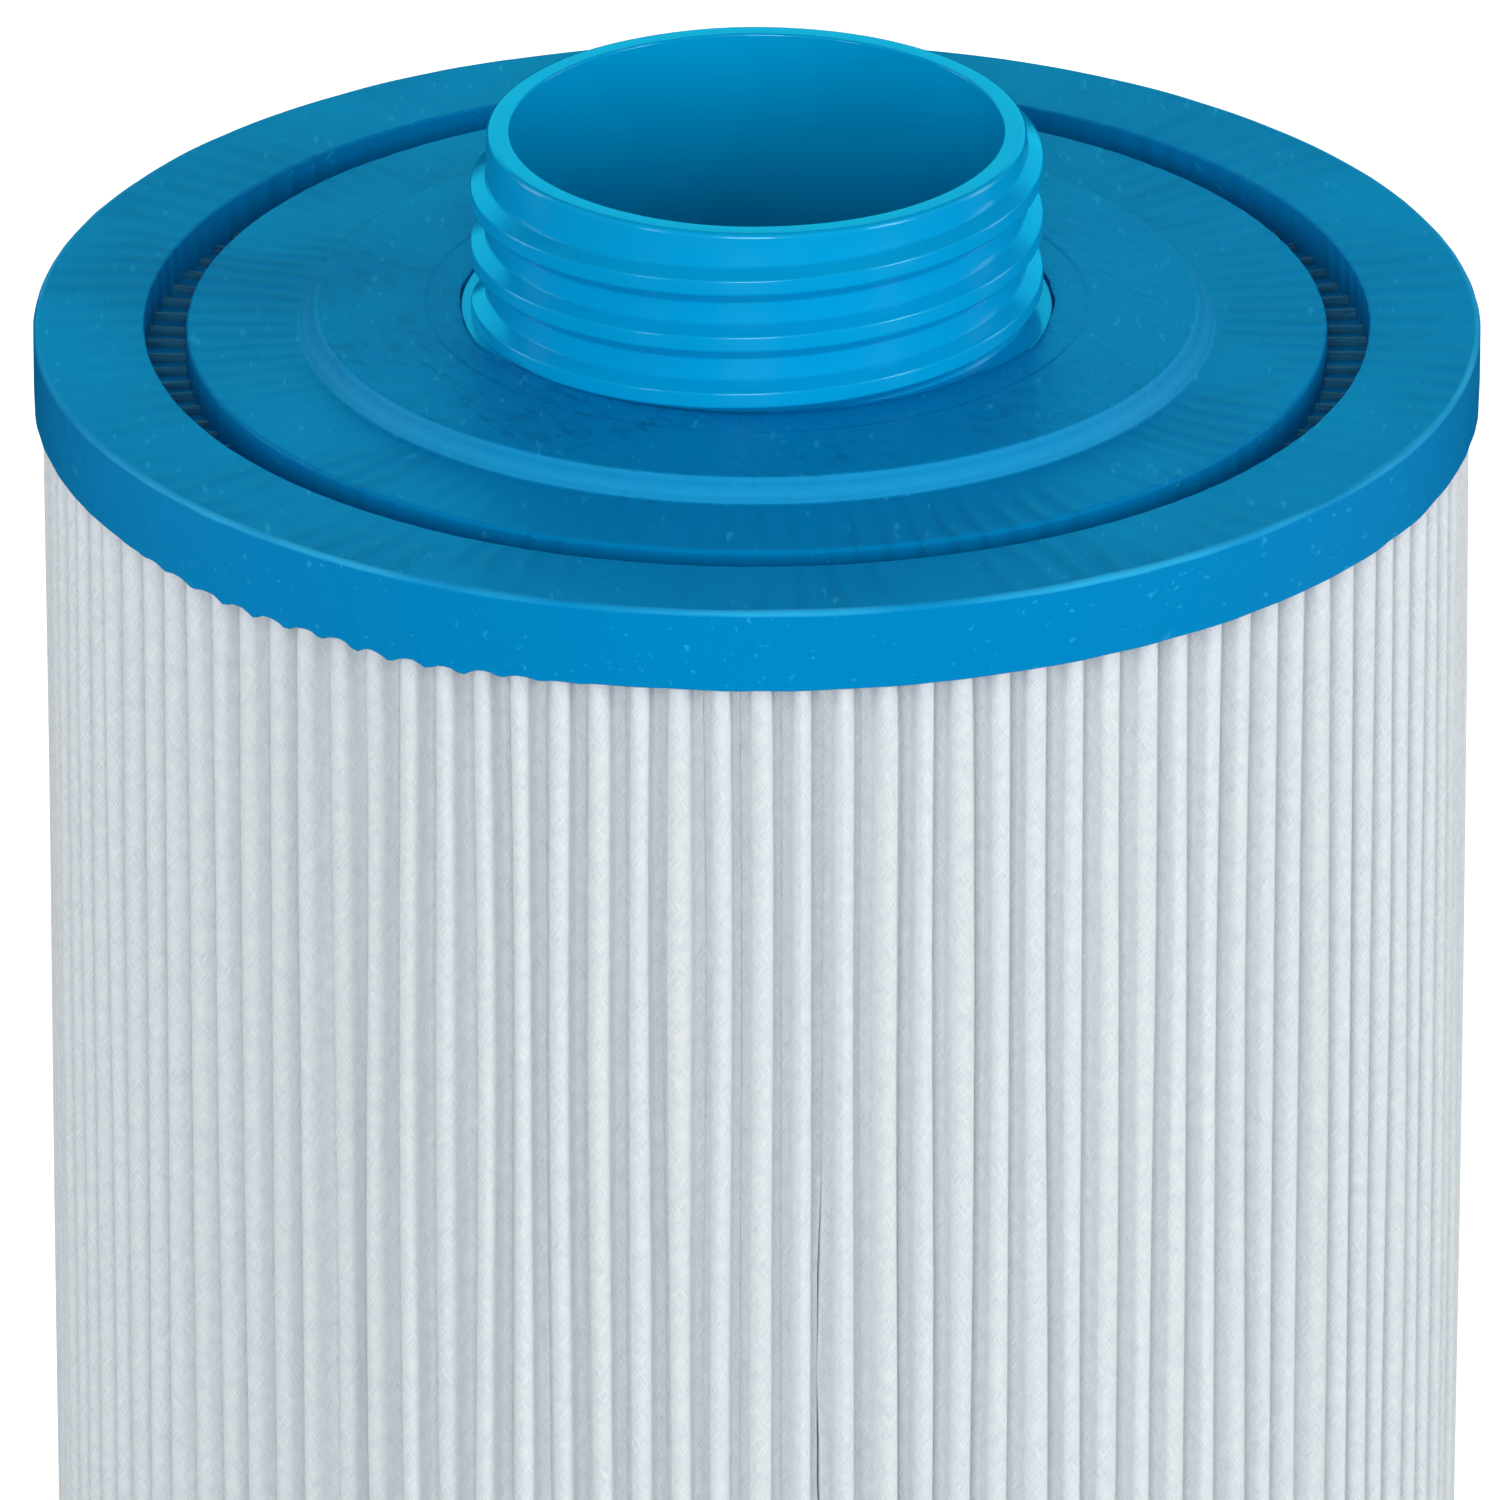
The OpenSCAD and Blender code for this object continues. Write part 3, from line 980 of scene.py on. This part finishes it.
@dataclass
class PleatedSheet:
    """The filter sheet: one strip folded into uneven pleats and joined where its ends meet."""

    low_z: float
    high_z: float
    pleats: int = PLEATS
    outer_r: float = 75.1
    inner_r: float = 31.3
    thickness: float = 0.5
    fold_r: float = 1.08
    flank: tuple[tuple[float, float], ...] = (
        (73.2, 1.09), (72.3, 1.17), (71.8, 1.42), (71.5, 2.065), (60.0, 1.73), (46.0, 1.25),
    )
    valley_r: float = 0.175
    seam: float = math.radians(275.2)
    tip: float = 0.6
    rows: int = 16
    crowding: float = 0.03
    slit: float = 0.0035
    stray: tuple[float, float, float] = (0.14, 0.04, 0.10)
    hold_h: float = 14.0
    lean: float = 0.14
    depth_stray: float = 0.45
    fray: float = 0.35

    @property
    def pitch(self) -> float:
        """Angle from one pleat to the next, in radians."""
        return math.tau / self.pleats

    def outline(self, bm: Mesh) -> float:
        """Draws the folded sheet's outer face at its lower end, one closed line.

        Args:
            bm: Gets the line, with each point's place along the flat sheet.

        Returns:
            The flat sheet's length in millimetres.
        """
        crest_c = self.outer_r - self.fold_r
        valley_c = self.inner_r + self.thickness + self.valley_r
        place = bm.verts.layers.float.new("place")
        half_way, whole_way = (Matrix.Rotation(self.pitch * n, 3, "Z") for n in (0.5, 1))
        bmesh.ops.spin(
            bm, geom=[bm.verts.new((crest_c, -self.fold_r, 0))], cent=(crest_c, 0, 0),
            axis=(0, 0, 1), angle=math.pi, steps=8,
        )
        middle = half_way @ Vector((valley_c, 0, 0))
        before = bm.verts.new(half_way @ Vector((valley_c, -self.valley_r, 0)))
        turned = bmesh.ops.spin(
            bm, geom=[before], cent=middle, axis=(0, 0, 1), angle=-math.pi, steps=2,
        )
        after = verts_in(turned["geom_last"])[0]
        crest_end = max(bm.verts, key=lambda v: v.co.y if v.co.x >= crest_c - 0.01 else -9)
        next_start = bm.verts.new(whole_way @ Vector((crest_c, -self.fold_r, 0)))
        # a pleat swells behind its tip until it nearly meets its neighbours
        inwards = [bm.verts.new((radius, half, 0)) for radius, half in self.flank]
        outwards = [
            bm.verts.new(whole_way @ Vector((radius, -half, 0)))
            for radius, half in reversed(self.flank)
        ]
        for line in ([crest_end, *inwards, before], [after, *outwards, next_start]):
            for one, other in zip(line, line[1:]):
                bm.edges.new((one, other))
        start = min(bm.verts, key=lambda v: v.co.y if v.co.x >= crest_c - 0.01 else 9)
        length = self.measure(start, place)
        single = bm.verts[:] + bm.edges[:]
        for i in range(1, self.pleats):
            copy = bmesh.ops.duplicate(bm, geom=single)["geom"]
            verts = verts_in(copy)
            onward = Matrix.Rotation(i * self.pitch, 3, "Z")
            bmesh.ops.rotate(bm, cent=(0, 0, 0), verts=verts, matrix=onward)
            for vert in verts:
                vert[place] += i * length
        bmesh.ops.remove_doubles(bm, verts=bm.verts, dist=1e-3)
        bmesh.ops.rotate(
            bm, cent=(0, 0, 0), verts=bm.verts,
            matrix=Matrix.Rotation(self.seam + self.pitch / 2, 3, "Z"),
        )
        return length * self.pleats

    def measure(self, start: Vert, place: object) -> float:
        """Writes each point's distance from the start along one pleat's line.

        Args:
            start: The line's first point.
            place: The layer that holds the distance.

        Returns:
            The line's whole length.
        """
        length, vert, came = 0.0, start, None
        while True:
            vert[place] = length
            onward = [e for e in vert.link_edges if e is not came]
            if not onward:
                return length
            came = onward[0]
            length += came.calc_length()
            vert = came.other_vert(vert)

    def crease(self, number: int, z: float) -> float:
        """How far a crease between two pleats strays at a height, as a share of the pitch.

        Args:
            number: Counts the creases from the seam, which is crease 0.
            z: Height in millimetres.

        Returns:
            The shift, positive anticlockwise seen from above.
        """
        number %= self.pleats
        # the resin holds the ends, so the waves are smaller there
        free = smooth_step(0, self.hold_h, z - self.low_z)
        free *= smooth_step(0, self.hold_h, self.high_z - z)
        whole, ends, middle = self.stray
        wave = (ends + middle * free) * wander(number * 5.3, z / 75, 4.0)
        return whole * wander(number * 3.7, 1.5) + wave

    def settle(self, bm: Mesh) -> None:
        """Moves the even pleats to where a real pack's pleats stand: crowded, leaning and waved."""
        depth = self.outer_r - self.inner_r
        place = bm.verts.layers.float["place"]
        for vert in bm.verts:
            x, y, z = vert.co
            radius = math.hypot(x, y)
            turn = (math.atan2(y, x) - self.seam) % math.tau
            number = int(turn / self.pitch) % self.pleats
            across = turn / self.pitch - number
            share = min(1.0, max(0.0, (radius - self.inner_r - 1) / depth)) ** 1.5
            left = self.crease(number, z) * share
            right = self.crease(number + 1, z) * share
            behind_tip = self.flank[3][0]
            lean = self.lean * wander(number * 2.3, z / 110, 8.0)
            lean *= smooth_step(behind_tip, self.outer_r, radius)
            reach = radius + share * self.depth_stray * wander(number * 4.1, z / 90, 2.0)
            turn = (number + left + across * (1 + right - left) + lean) * self.pitch
            signed = (turn + math.pi) % math.tau - math.pi
            if abs(signed) < self.pitch / 2:
                signed += math.copysign(self.slit * share, signed)
            angle = self.seam + signed - self.crowding * math.sin(signed)
            if z > self.high_z - 0.5:
                z += self.fray * wander(vert[place] / 1.3, 3.3)
            vert.co = (reach * math.cos(angle), reach * math.sin(angle), z)

    def unroll(self, bm: Mesh, length: float) -> None:
        """Gives the sheet a UV map that is the flat sheet, in metres."""
        place = bm.verts.layers.float["place"]
        uv = bm.loops.layers.uv.new("flat_sheet")
        for face in bm.faces:
            along = [loop.vert[place] for loop in face.loops]
            highest = max(along)
            for loop, distance in zip(face.loops, along):
                if highest - distance > length / 2:
                    distance += length
                loop[uv].uv = (distance * MM, loop.vert.co.z * MM)

    def build(self) -> Piece:
        """Returns:
            The sheet's object.
        """
        bm = bmesh.new()
        length = self.outline(bm)
        top = self.high_z + self.tip
        bmesh.ops.translate(bm, vec=(0, 0, self.low_z), verts=bm.verts)
        edges = bm.edges[:]
        for _ in range(self.rows):
            raised = bmesh.ops.extrude_edge_only(bm, edges=edges)["geom"]
            edges = [g for g in raised if isinstance(g, bmesh.types.BMEdge)]
            bmesh.ops.translate(
                bm, vec=(0, 0, (top - self.low_z) / self.rows),
                verts=verts_in(raised),
            )
        self.settle(bm)
        self.unroll(bm, length)
        bmesh.ops.recalc_face_normals(bm, faces=bm.faces)
        outside = max(bm.faces, key=lambda f: math.hypot(*f.calc_center_median().xy))
        if outside.normal.dot(outside.calc_center_median()) < 0:
            bmesh.ops.reverse_faces(bm, faces=bm.faces)
        sheet = finish_mesh("pleated_sheet", bm, sharp=180)
        wall = sheet.modifiers.new("sheet_thickness", "SOLIDIFY")
        wall.thickness, wall.offset = self.thickness * MM, -1
        # spun-bonded polyester: white felt whose fibres glint where light grazes it
        felt = SpunPolyester(
            "spun_bonded_polyester", "#f3f7f9", roughness=0.75, ior=1.45, gloss=0.3,
            resin_from_mm=self.low_z + 3.8, resin_to_mm=self.high_z - 3.8,
        )
        sheet.data.materials.append(felt.material())
        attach(sheet, "root")
        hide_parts("pleated_media")
        log.info("flat sheet %.1f by %.1f mm", top - self.low_z, length)
        return sheet


@dataclass
class InnerParts:
    """The core sections and the seam's glue, whose modelled shapes are right as they are."""

    sections: tuple[str, ...] = CORE_SECTIONS
    bead: str = "seam_bead"

    def dress(self) -> None:
        """Gives each node its finish."""
        for name in self.sections:
            self.coat(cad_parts[name], CORE_PP)
        self.coat(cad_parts[self.bead], SEAM_GLUE)

    def coat(self, piece: Piece, finish: Finish) -> None:
        """Puts one finish on all of a node's material slots."""
        for holder in piece.material_slots:
            holder.material = finish.material()
        log.info("%s dressed", piece.name)


# ---- Studio ----


@dataclass
class Softbox:
    """A soft lamp: where it stands, how big it is and how bright. Sizes are metres."""

    name: str
    place: tuple[float, float, float]
    size: tuple[float, float]
    watts: float
    colour: str = "#ffffff"
    shine_only: bool = False
    matt_only: bool = False

    def hang(self, target: Vector) -> None:
        """Makes the lamp and turns it to the target."""
        lamp = bpy.data.lights.new(self.name, "AREA")
        lamp.shape, lamp.size, lamp.size_y, lamp.energy = "RECTANGLE", *self.size, self.watts
        holder = bpy.data.objects.new(self.name, lamp)
        holder.location = self.place
        holder.rotation_euler = (target - holder.location).to_track_quat("-Z", "Y").to_euler()
        lamp.color = linear(self.colour)[:3]
        holder.visible_camera = False
        holder.visible_diffuse = not self.shine_only
        holder.visible_glossy = not self.matt_only
        bpy.context.scene.collection.objects.link(holder)


@dataclass
class Studio:
    """White paper, even light with soft boxes, and a long lens a little above the cartridge."""

    top_z: float
    elevation: float = 24.3
    distance: float = 2.5
    lens: float = 565.0
    aim_drop: float = 0.0715
    aim_x: float = -0.0007

    def floor(self) -> None:
        """Lays the paper under the cartridge."""
        bm = bmesh.new()
        bmesh.ops.create_grid(bm, x_segments=1, y_segments=1, size=6000)
        paper = finish_mesh("paper_floor", bm, sharp=30)
        paper.data.materials.append(PAPER.material())
        # the paper only carries the shadow; the world lights the cartridge from below instead
        paper.visible_diffuse = paper.visible_glossy = False

    def sky(self) -> None:
        """Lights the room evenly, dimmer overhead than round the sides."""
        world = bpy.data.worlds.new("white_room")
        bpy.context.scene.world = world
        world.cycles_visibility.glossy = False
        world.use_nodes = True
        tree = world.node_tree
        coords = add_node(tree, "ShaderNodeTexCoord")
        split = add_node(tree, "ShaderNodeSeparateXYZ", links={0: coords.outputs["Generated"]})
        height = add_node(
            tree, "ShaderNodeMapRange",
            values={"From Min": 0.1, "From Max": 0.9, "To Min": 0.47, "To Max": 0.40},
            links={"Value": split.outputs[2]},
        )
        back = tree.nodes["Background"]
        back.inputs["Color"].default_value = linear("#eaf3fa")
        tree.links.new(height.outputs[0], back.inputs["Strength"])

    def lights(self, target: Vector) -> None:
        """Hangs the soft boxes round the cartridge."""
        for box in (
            Softbox("front_box", (-0.1, -1.7, 0.6), (0.6, 0.9), 15),
            Softbox("left_box", (-1.1, -1.15, 0.5), (0.12, 1.0), 3),
            Softbox("left_rim", (-1.2, 0.35, 0.4), (0.3, 1.0), 2),
            Softbox("right_rim", (1.2, 0.35, 0.4), (0.3, 1.0), 2),
            Softbox("right_box", (1.2, -0.8, 0.5), (0.35, 1.0), 7),
            Softbox("back_card", (0.0, 0.9, 0.56), (1.6, 0.45), 5, "#2ae8ff", shine_only=True),
            # lower than the caps' faces and without a reflection: it lights only the far wall
            Softbox("back_box", (0.1, 1.5, 0.1), (0.8, 0.14), 8, matt_only=True),
        ):
            box.hang(target)

    def camera(self, target: Vector) -> None:
        """Stands the camera back from the target and looks down at it."""
        tilt = math.radians(self.elevation)
        lens = bpy.data.cameras.new("view")
        lens.lens, lens.clip_start, lens.clip_end = self.lens, 0.05, 50
        holder = bpy.data.objects.new("view", lens)
        holder.location = target + self.distance * Vector((0, -math.cos(tilt), math.sin(tilt)))
        holder.rotation_euler = (target - holder.location).to_track_quat("-Z", "Y").to_euler()
        bpy.context.scene.collection.objects.link(holder)
        bpy.context.scene.camera = holder

    def build(self) -> None:
        """Sets the whole studio up."""
        target = Vector((self.aim_x, 0, self.top_z - self.aim_drop))
        self.floor()
        self.sky()
        self.lights(target)
        self.camera(target)
        bpy.context.scene.view_settings.view_transform = "Standard"


def main() -> None:
    """Builds the studio and every piece of the cartridge in order."""
    logging.basicConfig(level=logging.INFO, format="%(message)s")
    closed_z = CAD_BOX[0].z / MM
    rim_z = CAD_BOX[1].z / MM
    ring_z = rim_z - ThreadedCollar.rim_h
    media = [corner.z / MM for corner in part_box("pleated_media")]
    Studio(top_z=CAD_BOX[1].z).build()
    pieces = (
        ThreadedCollar("threaded_collar", ring_z),
        CastCap(End.THREADED, "threaded_end_cap", ring_z),
        CastCap(End.CLOSED, "closed_end_cap", closed_z),
        GripInsert("grip_insert", closed_z),
        PleatedSheet(media[0], media[1]),
    )
    for piece in pieces:
        made = piece.build()
        log.info("%s: %d faces", made.name, len(made.data.polygons))
    InnerParts().dress()


if __name__ == "__main__":
    main()
